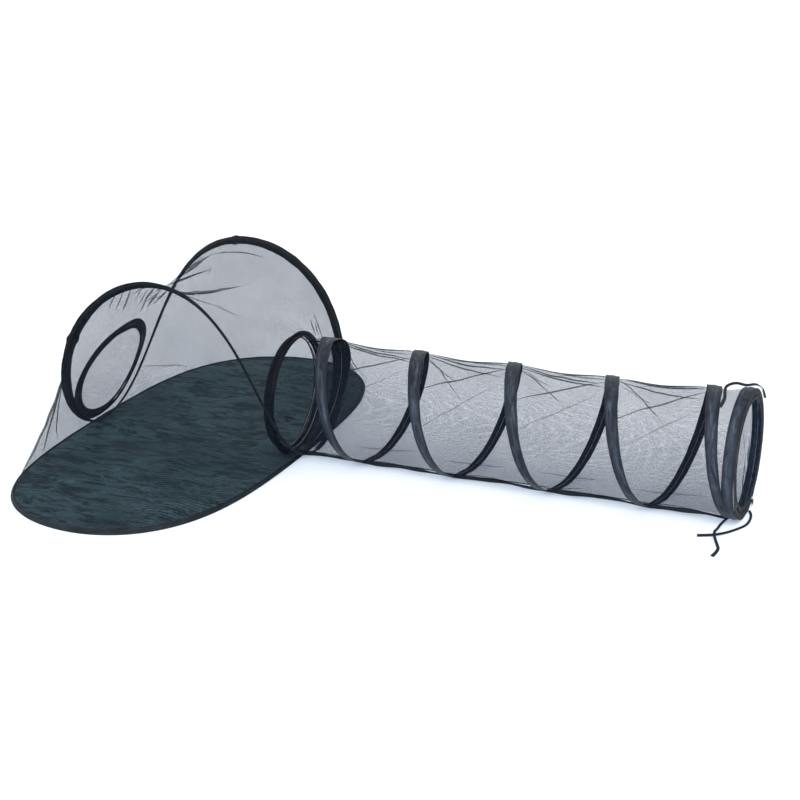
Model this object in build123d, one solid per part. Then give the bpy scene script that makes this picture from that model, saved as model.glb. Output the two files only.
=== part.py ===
"""Pop-up mesh pet tent with a spring tunnel, as separate pieces in one frame.

The origin is the middle of the tent's floor, on the ground. +X runs along the tunnel, away from
the tent, +Y along the tent's long axis, and +Z up. Lengths are in millimetres, angles in degrees.
"""
import math
import os

from build123d import *

# Tent floor: a leaf-shaped sheet in a spring-steel hoop.
FLOOR_HALF_LENGTH = 753.0
FLOOR_CENTRE_Y = -19.0
FLOOR_FRONT_HALF_WIDTH = 327.0
FLOOR_BACK_HALF_WIDTH = 367.0
FLOOR_FULLNESS = 0.095
FLOOR_THICKNESS = 2.4
BINDING_RADIUS = 3.0
FOLD_Y = 185.0
FOLD_GAP = 1.2

# Saddle loop: one closed spring that makes both arches and touches the ground front and back.
LOOP_HALF_LENGTH = 349.0
LOOP_SQUARENESS = 0.089
LOOP_REACH = 341.0
LOOP_REACH_TAPER = 56.0
NEAR_ARCH_HEIGHT = 530.0
FAR_ARCH_HEIGHT = 515.0
LOOP_SHOULDER = 0.033
LOOP_REST_FRONT = 3.4
LOOP_REST_BACK = 6.6
BOW_STEP = 7.0
LEG_STEP = 3.5
LEG_END = 55.0
BOW_GAP = 0.4

# Spring wire, its sewn sleeve and its crimped ferrules.
WIRE_RADIUS = 1.5
SLEEVE_RADIUS = 3.2
SLEEVE_BORE = 2.4
FERRULE_RADIUS = 2.2
FERRULE_BORE = 1.8
FERRULE_LENGTH = 16.0

# Mesh panels.
MESH_THICKNESS = 1.5
PANEL_INSET = 7.0
PANEL_START = 12.0
PORT_CLEARANCE = 9.0
CANOPY_HOLLOW = 60.0
CANOPY_STRIPS = 6

# Tunnel: a mesh tube on a steel helix, with a hoop at each end.
TUNNEL_RADIUS = 171.0
TUNNEL_AXIS_Z = 179.5
TUNNEL_WALL = 1.2
MOUTH_X = 288.0
MOUTH_HOOP_WIDTH = 22.0
EXIT_X = 1585.0
EXIT_HOOP_WIDTH = 30.0
MOUTH_HOOP_RADII = (164.0, 169.3)
EXIT_HOOP_RADII = (171.3, 179.2)
HELIX_RADIUS = 173.0
HELIX_WIRE_RADIUS = 1.7
HELIX_STEP = 8.0
HELIX_FIRST_TOP_X = 389.0
HELIX_LAST_TOP_X = 1501.0
HELIX_TURNS = 4
HELIX_START_ANGLE = -165.0
HELIX_START_PITCH = 155.0
HELIX_END_ANGLE = 104.0
HELIX_END_PITCH = 185.0
HELIX_TAPE_WIDTH = 30.0
HELIX_TAPE_THICKNESS = 1.5
HELIX_TAPE_RADIUS = 175.6
HELIX_JOIN_GAP = 2.0
SEAM_WIDTH = 14.0
SEAM_TURN = 13.0

# Round zipped doors.
EXIT_DOOR_RADIUS = 155.0
BACK_DOOR_RADIUS = 149.0
DOOR_EDGE_WIDTH = 9.0
ZIP_TAPE_WIDTH = 13.0
ZIP_GAP = 0.6
CLOTH = 1.2
BACK_DOOR_CENTRE = (-303.0, -20.0, 170.0)
BACK_DOOR_TILT = 20.7
SLIDER_ANGLE = 22.0
SLIDER_SIZE = (9.0, 6.0, 3.0)
PULL_SIZE = (4.0, 17.0, 1.2)

# Ribbon ties, whose width is the tube's diameter.
TIE_RADIUS = 2.5
TIE_REST = 2.8
ARC_SHARE = 0.45

# Where each tie lies, from its sewn end to its free end.
TOP_TIE = [
    (1604, 150, 284), (1605, 118, 317), (1604, 82, 343), (1597, 44, 361), (1579, 16, 366),
    (1554, 8, 368), (1531, -4, 364), (1534, -34, 356), (1544, -66, 346), (1538, -95, 331),
]
LONG_TIE = [
    (1604, 34, TIE_REST), (1615, 14, TIE_REST), (1621, -24, TIE_REST), (1620, -66, TIE_REST),
    (1603, -100, TIE_REST), (1585, -130, TIE_REST), (1568, -155, 5.5), (1548, -171, 5.5),
    (1516, -179, TIE_REST),
]
SHORT_TIE = [
    (1566, -24, TIE_REST), (1559, -54, TIE_REST), (1555, -90, TIE_REST), (1556, -126, 5.0),
    (1556, -156, 12.6), (1562, -184, 10.6), (1577, -214, TIE_REST), (1591, -250, TIE_REST),
    (1583, -292, TIE_REST),
]


def floor_edge(angle, inset=0.0):
    """Point on the leaf outline: 0 is the far tip, 90 the front, 180 the near tip, 270 the back."""
    s = math.radians(angle)
    half_width = FLOOR_FRONT_HALF_WIDTH if math.sin(s) > 0 else FLOOR_BACK_HALF_WIDTH
    x = (half_width - inset) * (math.sin(s) + FLOOR_FULLNESS * (math.sin(s) + math.sin(3 * s)))
    y = FLOOR_CENTRE_Y + (FLOOR_HALF_LENGTH - inset) * math.cos(s)
    return x, y


def floor_angle(y):
    """Angle on the front half of the outline that has this y."""
    return math.degrees(math.acos((y - FLOOR_CENTRE_Y) / FLOOR_HALF_LENGTH))


def loop_point(angle, side):
    """Point on the saddle loop: 0 is the front low point, 90 an arch's top; side -1 near, +1 far."""
    t = math.radians(angle)
    height = NEAR_ARCH_HEIGHT if side < 0 else FAR_ARCH_HEIGHT
    rest = (LOOP_REST_FRONT + LOOP_REST_BACK) / 2 + (LOOP_REST_FRONT - LOOP_REST_BACK) / 2 * math.cos(t)
    x = LOOP_HALF_LENGTH * (math.cos(t) - LOOP_SQUARENESS * (math.cos(3 * t) - math.cos(t)))
    y = side * (LOOP_REACH * math.sin(t) + LOOP_REACH_TAPER * math.sin(3 * t))
    z = rest + height * (math.sin(t) ** 2 + LOOP_SHOULDER * math.sin(2 * t) ** 2)
    return x, y, z


def inside_loop(angle, side):
    """Point beside the saddle loop, one panel inset towards the middle of the canopy."""
    x, y, z = loop_point(angle, side)
    _, y_before, z_before = loop_point(angle - 0.5, side)
    _, y_after, z_after = loop_point(angle + 0.5, side)
    along = Vector(0, y_after - y_before, z_after - z_before).normalized()
    turn = -side if angle < 90 else side
    if abs(angle - 90) < 1:
        return x, y - side * PANEL_INSET, z
    return x, y + turn * along.Z * PANEL_INSET, z - turn * along.Y * PANEL_INSET


def steps(first, last, step):
    """Evenly spaced values from first to last, about one step apart."""
    count = max(2, round(abs(last - first) / step))
    return [first + (last - first) * i / count for i in range(count + 1)]


def rounded_path(points):
    """Straight runs joined by the largest tangent arcs that the runs leave room for."""
    corners = [Vector(*p) for p in points]
    radii = []
    for before, corner, after in zip(corners, corners[1:], corners[2:]):
        run_in = corner - before
        run_out = after - corner
        half_turn = math.radians(run_in.get_angle(run_out)) / 2
        radii.append(ARC_SHARE * min(run_in.length, run_out.length) / math.tan(half_turn))
    return FilletPolyline(*corners, radius=radii), radii


def rod(points, radius, bore=0.0):
    """Round rod, or a tube if it has a bore, along the rounded path through the points."""
    path, _ = rounded_path(points)
    section = Circle(radius)
    if bore:
        section -= Circle(bore)
    return sweep(Plane(origin=path @ 0, z_dir=path % 0) * section, path=path)


def ferrule(middle, direction):
    """Crimped tube on a wire at a point, lying in a direction."""
    tube = Cylinder(FERRULE_RADIUS, FERRULE_LENGTH) - Cylinder(FERRULE_BORE, FERRULE_LENGTH)
    return Plane(origin=middle, z_dir=direction) * tube


def ferrule_halfway(points):
    """Crimped tube halfway along the rounded path through the points."""
    path, _ = rounded_path(points)
    return ferrule(path @ 0.5, path % 0.5)


def ruled_face(first, second):
    """Face of straight lines between two edges."""
    return Face.make_surface_from_curves(first, second)


def sheet_between(first, second, inner):
    """Closed thin sheet ruled between two rows of points; inner gives each point's inside partner."""
    rows = [first, second, [inner(p) for p in second], [inner(p) for p in first]]
    edges = [Edge.make_spline([Vector(*p) for p in row]) for row in rows]
    faces = [ruled_face(edges[i], edges[(i + 1) % 4]) for i in range(4)]
    for end in (0, -1):
        corners = [Vector(*row[end]) for row in rows]
        outer = Edge.make_line(corners[0], corners[1])
        inside = Edge.make_line(corners[3], corners[2])
        faces.append(ruled_face(outer, inside))
    sheet = Solid(Shell(faces))
    return sheet if sheet.volume > 0 else Solid(sheet.wrapped.Reversed())


def towards(x, y, z):
    """Makes a function that steps one mesh thickness from a point towards a place in the tent."""
    def inner(p):
        line = Vector(x, p[1] if y is None else y, z) - Vector(*p)
        return tuple(Vector(*p) + line.normalized() * MESH_THICKNESS)
    return inner


def floor_sheet():
    """The floor's three parts, cut at its two creases: near, middle and far."""
    inset = 2 * BINDING_RADIUS
    outline = Spline(*[floor_edge(a, inset) for a in range(0, 360, 10)], periodic=True)
    sheet = extrude(make_face(outline), FLOOR_THICKNESS)
    length = 2 * FLOOR_HALF_LENGTH
    middle = sheet & Box(length, 2 * FOLD_Y - FOLD_GAP, 20)
    near = sheet & Pos(0, -FOLD_Y - FOLD_GAP / 2 - length / 2, 0) * Box(length, length, 20)
    far = sheet & Pos(0, FOLD_Y + FOLD_GAP / 2 + length / 2, 0) * Box(length, length, 20)
    return near, middle, far


def rim_row(first, last):
    """Points of the floor's rim between two outline angles."""
    return [(*floor_edge(a), BINDING_RADIUS) for a in steps(first, last, BOW_STEP)]


def floor_rims():
    """Binding and hoop wire of the near wing, the middle and the far wing."""
    near_in, near_out = floor_angle(-FOLD_Y + FOLD_GAP / 2), floor_angle(-FOLD_Y - FOLD_GAP / 2)
    far_in, far_out = floor_angle(FOLD_Y - FOLD_GAP / 2), floor_angle(FOLD_Y + FOLD_GAP / 2)
    spans = {
        "near": [(near_out, 360 - near_out)],
        "middle": [(far_in, near_in), (360 - near_in, 360 - far_in)],
        "far": [(-far_out, far_out)],
    }
    rims = {}
    for name, stretches in spans.items():
        rows = [rim_row(a, b) for a, b in stretches]
        rims[name + "_binding"] = [rod(row, BINDING_RADIUS, SLEEVE_BORE) for row in rows]
        rims[name + "_hoop_wire"] = [rod(row, WIRE_RADIUS) for row in rows]
    rims["floor_hoop_ferrule"] = ferrule_halfway(rim_row(*spans["near"][0]))
    return rims


def loop_row(side, first, last, step):
    """Points of the saddle loop between two of its angles."""
    return [loop_point(a, side) for a in steps(first, last, step)]


def loop_parts(name, side):
    """Wire and sleeve of one arch: its bow, and its two legs down to the ground."""
    start = 0.3
    bow = [(LEG_END + BOW_GAP / 2, 180 - LEG_END - BOW_GAP / 2)]
    legs = [(start, LEG_END - BOW_GAP / 2), (180 - LEG_END + BOW_GAP / 2, 180 - start)]
    parts = {}
    for kind, stretches, step in (("bow", bow, BOW_STEP), ("leg", legs, LEG_STEP)):
        rows = [loop_row(side, a, b, step) for a, b in stretches]
        parts[f"{name}_{kind}_wire"] = [rod(row, WIRE_RADIUS) for row in rows]
        parts[f"{name}_{kind}_sleeve"] = [rod(row, SLEEVE_RADIUS, SLEEVE_BORE) for row in rows]
        if side > 0 and kind == "bow":
            parts["loop_ferrule"] = ferrule_halfway(rows[0])
    return parts


def canopy_row(share, angles):
    """Points across the canopy at one share of the way from the near arch to the far one."""
    row = []
    for a in angles:
        near, far = Vector(*inside_loop(a, -1)), Vector(*inside_loop(a, 1))
        t = math.radians(a)
        inward = Vector(-0.5 * math.cos(t), 0, -0.15 - math.sin(t)).normalized()
        hollow = CANOPY_HOLLOW * math.sin(t) ** 4 * 4 * share * (1 - share)
        row.append(tuple(near + (far - near) * share + inward * hollow))
    return row


def canopy(first, last):
    """Mesh between the two arches over a stretch of the loop, hollow along the tent's middle."""
    angles = steps(first, last, BOW_STEP)
    rows = [canopy_row(i / CANOPY_STRIPS, angles) for i in range(CANOPY_STRIPS + 1)]
    strips = [sheet_between(a, b, towards(0, None, 0)) for a, b in zip(rows, rows[1:])]
    return strips[0].fuse(*strips[1:])


def end_panel(side, first, last):
    """Mesh from one arch down to the floor's rim, over a stretch of the loop."""
    upper, lower = [], []
    for a in steps(first, last, BOW_STEP):
        x, y, z = loop_point(a, side)
        rim_x, rim_y = floor_edge(90 + a if side < 0 else 90 - a)
        slope = Vector(rim_x - x, rim_y - y, 2 * BINDING_RADIUS - z).normalized()
        upper.append(tuple(Vector(x, y, z) + slope * PANEL_INSET))
        lower.append(tuple(Vector(rim_x, rim_y, 2 * BINDING_RADIUS) - slope * PANEL_INSET))
    return sheet_between(upper, lower, towards(0, side * 150, 100))


def along_tunnel(shape, x):
    """Turns a shape built about +Z to lie about the tunnel's axis, centred at x."""
    return Pos(x, 0, TUNNEL_AXIS_Z) * Rot(0, 90, 0) * shape


def ring(outer, inner, width):
    """Flat-sided ring about +Z."""
    return Cylinder(outer, width) - Cylinder(inner, width)


def tunnel_hoop(x, width, radii):
    """Tape ring with its wire hoop and the wire's ferrule."""
    middle = sum(radii) / 2
    tape = ring(radii[1], radii[0], width) - Torus(middle, SLEEVE_BORE)
    wire = along_tunnel(Torus(middle, WIRE_RADIUS), x)
    bottom = TUNNEL_AXIS_Z - middle
    return along_tunnel(tape, x), wire, ferrule((x, 0, bottom), (0, 1, 0))


def helix_spans():
    """Pitch, first angle and last angle of the helix's three stretches, and x where the angle is 0."""
    pitch = (HELIX_LAST_TOP_X - HELIX_FIRST_TOP_X) / HELIX_TURNS
    return [
        (HELIX_START_PITCH, HELIX_START_ANGLE, 0, HELIX_FIRST_TOP_X),
        (pitch, 0, 360 * HELIX_TURNS, HELIX_FIRST_TOP_X),
        (HELIX_END_PITCH, 0, HELIX_END_ANGLE, HELIX_LAST_TOP_X),
    ]


def helix_stretch(pitch, first, last, top_x, radius, section):
    """Sweeps a section along a stretch of right-handed helix that advances along +X."""
    trim = math.degrees(HELIX_JOIN_GAP / radius)
    turns = (last - first - 2 * trim) / 360
    path = Helix(pitch, pitch * turns, radius)
    solid = sweep(Plane(origin=path @ 0, x_dir=(1, 0, 0), z_dir=path % 0) * section, path=path, is_frenet=True)
    start_x = top_x + pitch * (first + trim) / 360
    upright = Pos(start_x, 0, TUNNEL_AXIS_Z) * Rot(0, 90, 0)
    return upright * Rot(0, 0, 180 + first + trim) * solid


def helix_row(pitch, first, last, top_x):
    """Points along a stretch of the helix, set out so that their rounded path keeps its radius."""
    trim = math.degrees(HELIX_JOIN_GAP / HELIX_RADIUS)
    row = []
    for a in steps(first + trim, last - trim, HELIX_STEP):
        t = math.radians(a)
        radius = HELIX_RADIUS / math.cos(math.radians(HELIX_STEP / 2))
        if a in (first + trim, last - trim):
            radius = HELIX_RADIUS
        x = top_x + pitch * a / 360
        row.append((x, -radius * math.sin(t), TUNNEL_AXIS_Z + radius * math.cos(t)))
    return row


def helix():
    """The tunnel's spring wire and the tape sewn over it."""
    wire = [rod(helix_row(*span), HELIX_WIRE_RADIUS) for span in helix_spans()]
    tape_section = Rectangle(HELIX_TAPE_THICKNESS, HELIX_TAPE_WIDTH)
    tape = [helix_stretch(*span, HELIX_TAPE_RADIUS, tape_section) for span in helix_spans()]
    return wire, tape


def tunnel_seam():
    """Lengthwise binding strip inside the mesh, low on its -Y side."""
    first = MOUTH_X + MOUTH_HOOP_WIDTH / 2 + 2
    last = EXIT_X - EXIT_HOOP_WIDTH / 2 - 2
    inside = TUNNEL_RADIUS - TUNNEL_WALL - 0.3
    bottom = TUNNEL_AXIS_Z - math.sqrt(inside**2 - (SEAM_WIDTH / 2) ** 2) + CLOTH / 2
    strip = Pos(0, 0, bottom - TUNNEL_AXIS_Z) * Box(last - first, SEAM_WIDTH, CLOTH)
    return Pos((first + last) / 2, 0, TUNNEL_AXIS_Z) * Rot(-SEAM_TURN, 0, 0) * strip


def zip_door(plane, radius, slider_angle):
    """Round door in its own plane, +Z outwards: zip tape, door edge, door mesh, slider and pull."""
    tape = Pos(0, 0, CLOTH / 2) * ring(radius + ZIP_GAP + ZIP_TAPE_WIDTH, radius + ZIP_GAP, CLOTH)
    edge = Pos(0, 0, CLOTH / 2) * ring(radius, radius - DOOR_EDGE_WIDTH, CLOTH)
    mesh = Pos(0, 0, CLOTH / 2) * Cylinder(radius - DOOR_EDGE_WIDTH, CLOTH)
    slider_radius = radius + ZIP_GAP + SLIDER_SIZE[1] / 2
    a = math.radians(slider_angle)
    middle = Vector(slider_radius * math.sin(a), -slider_radius * math.cos(a))
    height = CLOTH + 0.4 + SLIDER_SIZE[2] / 2
    body = fillet(Box(*SLIDER_SIZE).edges().filter_by(Axis.Z), 1.8)
    slider = Pos(middle.X, middle.Y, height) * Rot(0, 0, slider_angle) * body
    tab = fillet(Box(*PULL_SIZE).edges().filter_by(Axis.Z), 1.4)
    tab_height = height + SLIDER_SIZE[2] / 2 + 0.4 + PULL_SIZE[2] / 2
    pull = Pos(middle.X, middle.Y - PULL_SIZE[1] / 2 + 2, tab_height) * tab
    return [plane * shape for shape in (tape, edge, mesh, slider, pull)]


def tie(name, points):
    """Ribbon tie as a plain tube, with its radii, length and volume printed."""
    path, radii = rounded_path(points)
    solid = rod(points, TIE_RADIUS)
    section = math.pi * TIE_RADIUS**2
    print(name, "radii", [round(r, 1) for r in radii], "length", round(path.length, 1))
    print("  volume", round(solid.volume, 1), "section times length", round(section * path.length, 1))
    return solid


def build():
    """Every node: its name and its solids."""
    parts = {}
    parts["near_floor"], parts["middle_floor"], parts["far_floor"] = floor_sheet()
    parts.update(floor_rims())
    parts.update(loop_parts("near", -1))
    parts.update(loop_parts("far", 1))
    panel_end = LEG_END - 1
    parts["top_panel"] = canopy(LEG_END, 180 - LEG_END)
    port = along_tunnel(Cylinder(TUNNEL_RADIUS + PORT_CLEARANCE, 400), MOUTH_X)
    parts["front_panel"] = canopy(PANEL_START, panel_end) - port
    back_plane = Plane(
        origin=BACK_DOOR_CENTRE,
        x_dir=(0, -1, 0),
        z_dir=(-math.cos(math.radians(BACK_DOOR_TILT)), 0, math.sin(math.radians(BACK_DOOR_TILT))),
    )
    hole = back_plane * Cylinder(BACK_DOOR_RADIUS + ZIP_GAP + ZIP_TAPE_WIDTH + 1, 300)
    parts["back_panel"] = canopy(180 - panel_end, 180 - PANEL_START) - hole
    for name, side in (("near", -1), ("far", 1)):
        parts[name + "_end_panel"] = end_panel(side, LEG_END + 0.5, 179.5 - LEG_END)
        front = end_panel(side, PANEL_START, LEG_END - 0.5)
        back = end_panel(side, 180.5 - LEG_END, 180 - PANEL_START)
        parts[name + "_corner_panels"] = [front, back]

    port_ring = ring(TUNNEL_RADIUS + 3.4, TUNNEL_RADIUS + 0.5, 10)
    parts["port_binding"] = along_tunnel(port_ring, MOUTH_X + 4)
    mesh_first, mesh_last = MOUTH_X - MOUTH_HOOP_WIDTH / 2, EXIT_X + EXIT_HOOP_WIDTH / 2
    tube = ring(TUNNEL_RADIUS, TUNNEL_RADIUS - TUNNEL_WALL, mesh_last - mesh_first)
    parts["tunnel_mesh"] = along_tunnel(tube, (mesh_first + mesh_last) / 2)
    parts["tunnel_seam"] = tunnel_seam()
    parts["helix_wire"], parts["helix_tape"] = helix()
    hoops = (
        ("mouth", MOUTH_X, MOUTH_HOOP_WIDTH, MOUTH_HOOP_RADII),
        ("exit", EXIT_X, EXIT_HOOP_WIDTH, EXIT_HOOP_RADII),
    )
    for name, *sizes in hoops:
        tape, wire, crimp = tunnel_hoop(*sizes)
        parts[name + "_hoop_tape"], parts[name + "_hoop_wire"] = tape, wire
        parts[name + "_hoop_ferrule"] = crimp

    exit_plane = Plane(origin=(mesh_last + 0.6, 0, TUNNEL_AXIS_Z), x_dir=(0, 1, 0), z_dir=(1, 0, 0))
    doors = (
        ("exit", exit_plane, EXIT_DOOR_RADIUS, SLIDER_ANGLE),
        ("back", back_plane, BACK_DOOR_RADIUS, -2 * SLIDER_ANGLE),
    )
    kinds = ("zip_tape", "door_edge", "door_mesh", "zip_slider", "zip_pull")
    for name, plane, radius, angle in doors:
        for kind, solid in zip(kinds, zip_door(plane, radius, angle)):
            parts[f"{name}_{kind}"] = solid

    parts["top_tie"] = tie("top_tie", TOP_TIE)
    parts["long_tie"] = tie("long_tie", LONG_TIE)
    parts["short_tie"] = tie("short_tie", SHORT_TIE)
    return parts


os.makedirs("parts", exist_ok=True)
for node, shape in build().items():
    pieces = shape if isinstance(shape, list) else [shape]
    solids = [s for piece in pieces for s in piece.solids()]
    export_step(Compound(children=solids) if len(solids) > 1 else solids[0], f"parts/{node}.step")
    if any(s.volume <= 0 for s in solids):
        print("inside out:", node)
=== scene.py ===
"""Looks of the pop-up mesh pet tent with its spring tunnel. Metres."""
import math

import bmesh
import bpy
import numpy as np
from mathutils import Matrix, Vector


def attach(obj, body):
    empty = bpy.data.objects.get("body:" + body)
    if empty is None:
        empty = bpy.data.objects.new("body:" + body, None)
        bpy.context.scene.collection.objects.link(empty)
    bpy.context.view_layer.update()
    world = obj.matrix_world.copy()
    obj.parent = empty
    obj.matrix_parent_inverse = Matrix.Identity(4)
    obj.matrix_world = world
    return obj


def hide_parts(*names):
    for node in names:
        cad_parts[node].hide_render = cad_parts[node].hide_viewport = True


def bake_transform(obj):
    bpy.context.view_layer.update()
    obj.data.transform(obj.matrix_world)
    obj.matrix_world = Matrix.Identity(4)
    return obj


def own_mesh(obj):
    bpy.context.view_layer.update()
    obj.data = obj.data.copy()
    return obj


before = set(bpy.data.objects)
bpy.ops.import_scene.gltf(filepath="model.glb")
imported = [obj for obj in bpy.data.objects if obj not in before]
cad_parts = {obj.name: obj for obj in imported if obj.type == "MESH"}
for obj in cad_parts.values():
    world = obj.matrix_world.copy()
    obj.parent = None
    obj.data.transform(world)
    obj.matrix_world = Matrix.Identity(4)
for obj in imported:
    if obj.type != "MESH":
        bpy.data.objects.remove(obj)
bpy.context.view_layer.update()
scene = bpy.context.scene

# ---- camera
CAMERA_PLACE = (2.5570, -4.7245, 2.0291)
CAMERA_TILT = 70.22
CAMERA_TURN = 22.39
LENS = 87.14
camera_data = bpy.data.cameras.new("camera")
camera_data.lens = LENS
camera_data.sensor_width = 36
camera_data.clip_end = 200
camera = bpy.data.objects.new("camera", camera_data)
camera.location = CAMERA_PLACE
camera.rotation_euler = (math.radians(CAMERA_TILT), 0, math.radians(CAMERA_TURN))
scene.collection.objects.link(camera)
scene.camera = camera
scene.view_settings.view_transform = "Standard"

# ---- shared shape of the object
FLOOR_HALF_LENGTH, FLOOR_CENTRE_Y = 0.753, -0.019
FLOOR_FRONT, FLOOR_BACK, FLOOR_FULLNESS = 0.327, 0.367, 0.095
LOOP_HALF, LOOP_SQUARENESS = 0.349, 0.089
LOOP_REACH, LOOP_TAPER, LOOP_SHOULDER = 0.341, 0.056, 0.033
ARCH_HEIGHT = {-1: 0.530, 1: 0.515}
AXIS_Z, TUNNEL_R = 0.1795, 0.171
NET_START, NET_END = 0.277, 1.600
FIRST_TOP, LAST_TOP = 0.389, 1.501
START_PITCH, PITCH, END_PITCH = 0.155, 0.278, 0.185
COIL_TURNS = (LAST_TOP - FIRST_TOP) / PITCH
BACK_DOOR_CENTRE = Vector((-0.303, -0.020, 0.170))
BACK_DOOR_TILT = math.radians(20.7)
# How far the tunnel's top sags, along x.
SAG_X = (0.270, 0.389, 0.480, 0.667, 0.945, 1.100, 1.223, 1.501, 1.600)
SAG_TOP = (0.0150, 0.0150, 0.0150, 0.0195, 0.0180, 0.0185, 0.0205, 0.0095, 0.0010)
DROP = 0.0042
PORT_R = 0.171
PORT_Z = 0.1720
# Lowest that any vertex may be, above the ground.
GROUND = 0.0006


def floor_edge(a):
    """Leaf outline of the floor; angle in degrees, 0 is the far tip, 90 the tunnel's side."""
    s = np.radians(a)
    half = np.where(np.sin(s) > 0, FLOOR_FRONT, FLOOR_BACK)
    x = half * (np.sin(s) + FLOOR_FULLNESS * (np.sin(s) + np.sin(3 * s)))
    return x, FLOOR_CENTRE_Y + FLOOR_HALF_LENGTH * np.cos(s)


def loop_point(a, side):
    """Saddle loop; angle in degrees, 0 is the front low point, 90 an arch's top; side -1 near, 1 far."""
    t = np.radians(np.asarray(a, float))
    x = LOOP_HALF * (np.cos(t) - LOOP_SQUARENESS * (np.cos(3 * t) - np.cos(t)))
    y = side * (LOOP_REACH * np.sin(t) + LOOP_TAPER * np.sin(3 * t))
    z = 0.005 - 0.0016 * np.cos(t) + ARCH_HEIGHT[side] * (np.sin(t) ** 2 + LOOP_SHOULDER * np.sin(2 * t) ** 2)
    return np.stack([x, y, z], -1)


def coil_angle(x):
    """Angle in degrees of the tunnel's spring at x; a full turn for each coil, 0 at the first top."""
    x = np.asarray(x, float)
    return 360 * np.where(
        x < FIRST_TOP, (x - FIRST_TOP) / START_PITCH,
        np.where(x < LAST_TOP, (x - FIRST_TOP) / PITCH, COIL_TURNS + (x - LAST_TOP) / END_PITCH),
    )


def coil_x(a):
    """x of the tunnel's spring at an angle in degrees."""
    a = np.asarray(a, float) / 360
    return np.where(
        a < 0, FIRST_TOP + a * START_PITCH,
        np.where(a < COIL_TURNS, FIRST_TOP + a * PITCH, LAST_TOP + (a - COIL_TURNS) * END_PITCH),
    )


def around(x, a, r):
    """Point round the tunnel's axis; angle in degrees, 0 on top and 90 on the side of -Y."""
    t = np.radians(a)
    top = (1 + np.cos(t)) / 2
    z = AXIS_Z + r * np.cos(t) - np.interp(x, SAG_X, SAG_TOP) * top - DROP * (1 - top)
    return np.stack(np.broadcast_arrays(np.asarray(x, float), -r * np.sin(t), z), -1)


def waves(points, seed, wavelength, count=12, stretch=(1, 1, 1)):
    """Smooth noise between about -1 and 1: a fixed sum of sine waves, seeded."""
    draw = np.random.default_rng(seed)
    total = np.zeros(points.shape[:-1])
    for _ in range(count):
        k = draw.normal(size=3)
        k = k / np.linalg.norm(k) * np.array(stretch) * 2 * math.pi / (wavelength * draw.uniform(0.6, 1.7))
        total += np.sin(points @ k + draw.uniform(0, 2 * math.pi))
    return total / math.sqrt(count) / 1.4


def uv_grid(u, v):
    """Every pair of two rows of values."""
    return np.stack(np.meshgrid(u, v, indexing="ij"), -1)


def laid(pts, axis):
    """Distance over the sheet from its first row to each point, along one direction of its grid."""
    first = pts[:1] if axis == 0 else pts[:, :1]
    return np.cumsum(np.linalg.norm(np.diff(pts, axis=axis, prepend=first), axis=-1), axis)


def unit(v):
    return v / np.maximum(np.linalg.norm(v, axis=-1, keepdims=True), 1e-9)


def outward(pts):
    """Direction from the tunnel's axis to each point."""
    return unit((pts - np.array([0, 0, AXIS_Z])) * np.array([0, 1, 1]))


# ---- mesh helpers
def placed(name, data):
    o = bpy.data.objects.new(name, data)
    scene.collection.objects.link(o)
    return o


def finish_mesh(name, verts, faces, uvs, materials, which):
    """Makes an object from vertices, faces, one uv per face corner and a material index per face."""
    me = bpy.data.meshes.new(name)
    me.from_pydata([tuple(v) for v in verts], [], [tuple(int(i) for i in f) for f in faces])
    layer = me.uv_layers.new(name="UVMap")
    layer.data.foreach_set("uv", np.asarray(uvs, np.float32).ravel())
    for m in materials:
        me.materials.append(m)
    me.polygons.foreach_set("material_index", np.asarray(which, np.int32))
    me.polygons.foreach_set("use_smooth", [True] * len(me.polygons))
    me.validate()
    return placed(name, me)


class Build:
    """Collects grids of points into one mesh."""

    def __init__(self):
        self.verts, self.faces, self.uvs, self.which = [], [], [], []
        self.n = 0

    def grid(self, pts, uv, mat=0, closed=(False, False), keep=None, flip=False):
        """A sheet of quads over a grid of points, closed round in either direction if asked."""
        nu, nv = pts.shape[:2]
        iu = nu if closed[0] else nu - 1
        iv = nv if closed[1] else nv - 1
        i, j = np.meshgrid(np.arange(iu), np.arange(iv), indexing="ij")
        i2, j2 = (i + 1) % nu, (j + 1) % nv
        f = np.stack([i * nv + j, i2 * nv + j, i2 * nv + j2, i * nv + j2], -1).reshape(-1, 4)
        t = np.stack([uv[i, j], uv[i + 1, j], uv[i + 1, j + 1], uv[i, j + 1]], -2).reshape(-1, 4, 2)
        if keep is not None:
            ok = keep.reshape(-1)
            f, t = f[ok], t[ok]
        if flip:
            f, t = f[:, ::-1], t[:, ::-1]
        self.faces.extend((f + self.n).tolist())
        self.uvs.extend(t.reshape(-1, 2).tolist())
        self.which.extend([mat] * len(f))
        self.verts.extend(pts.reshape(-1, 3).tolist())
        self.n += nu * nv
        return self

    def cap(self, first, count, uv, mat=0, flip=False):
        """One face over a ring of points that is already there."""
        ring = list(range(first, first + count))
        self.faces.append(ring[::-1] if flip else ring)
        self.uvs.extend([list(uv)] * count)
        self.which.append(mat)

    def make(self, name, materials):
        above = [(x, y, max(z, GROUND)) for x, y, z in self.verts]
        o = finish_mesh(name, above, self.faces, self.uvs, materials, self.which)
        bm = bmesh.new()
        bm.from_mesh(o.data)
        loose = [v for v in bm.verts if not v.link_faces]
        bmesh.ops.delete(bm, geom=loose, context="VERTS")
        bm.to_mesh(o.data)
        bm.free()
        return o


def path_uv(points, closed=False):
    """Distance along a row of points, with the closing step added for a closed row."""
    step = np.linalg.norm(np.diff(points, axis=0), axis=1)
    along = np.concatenate([[0], np.cumsum(step)])
    if closed:
        along = np.append(along, along[-1] + np.linalg.norm(points[0] - points[-1]))
    return along


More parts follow.
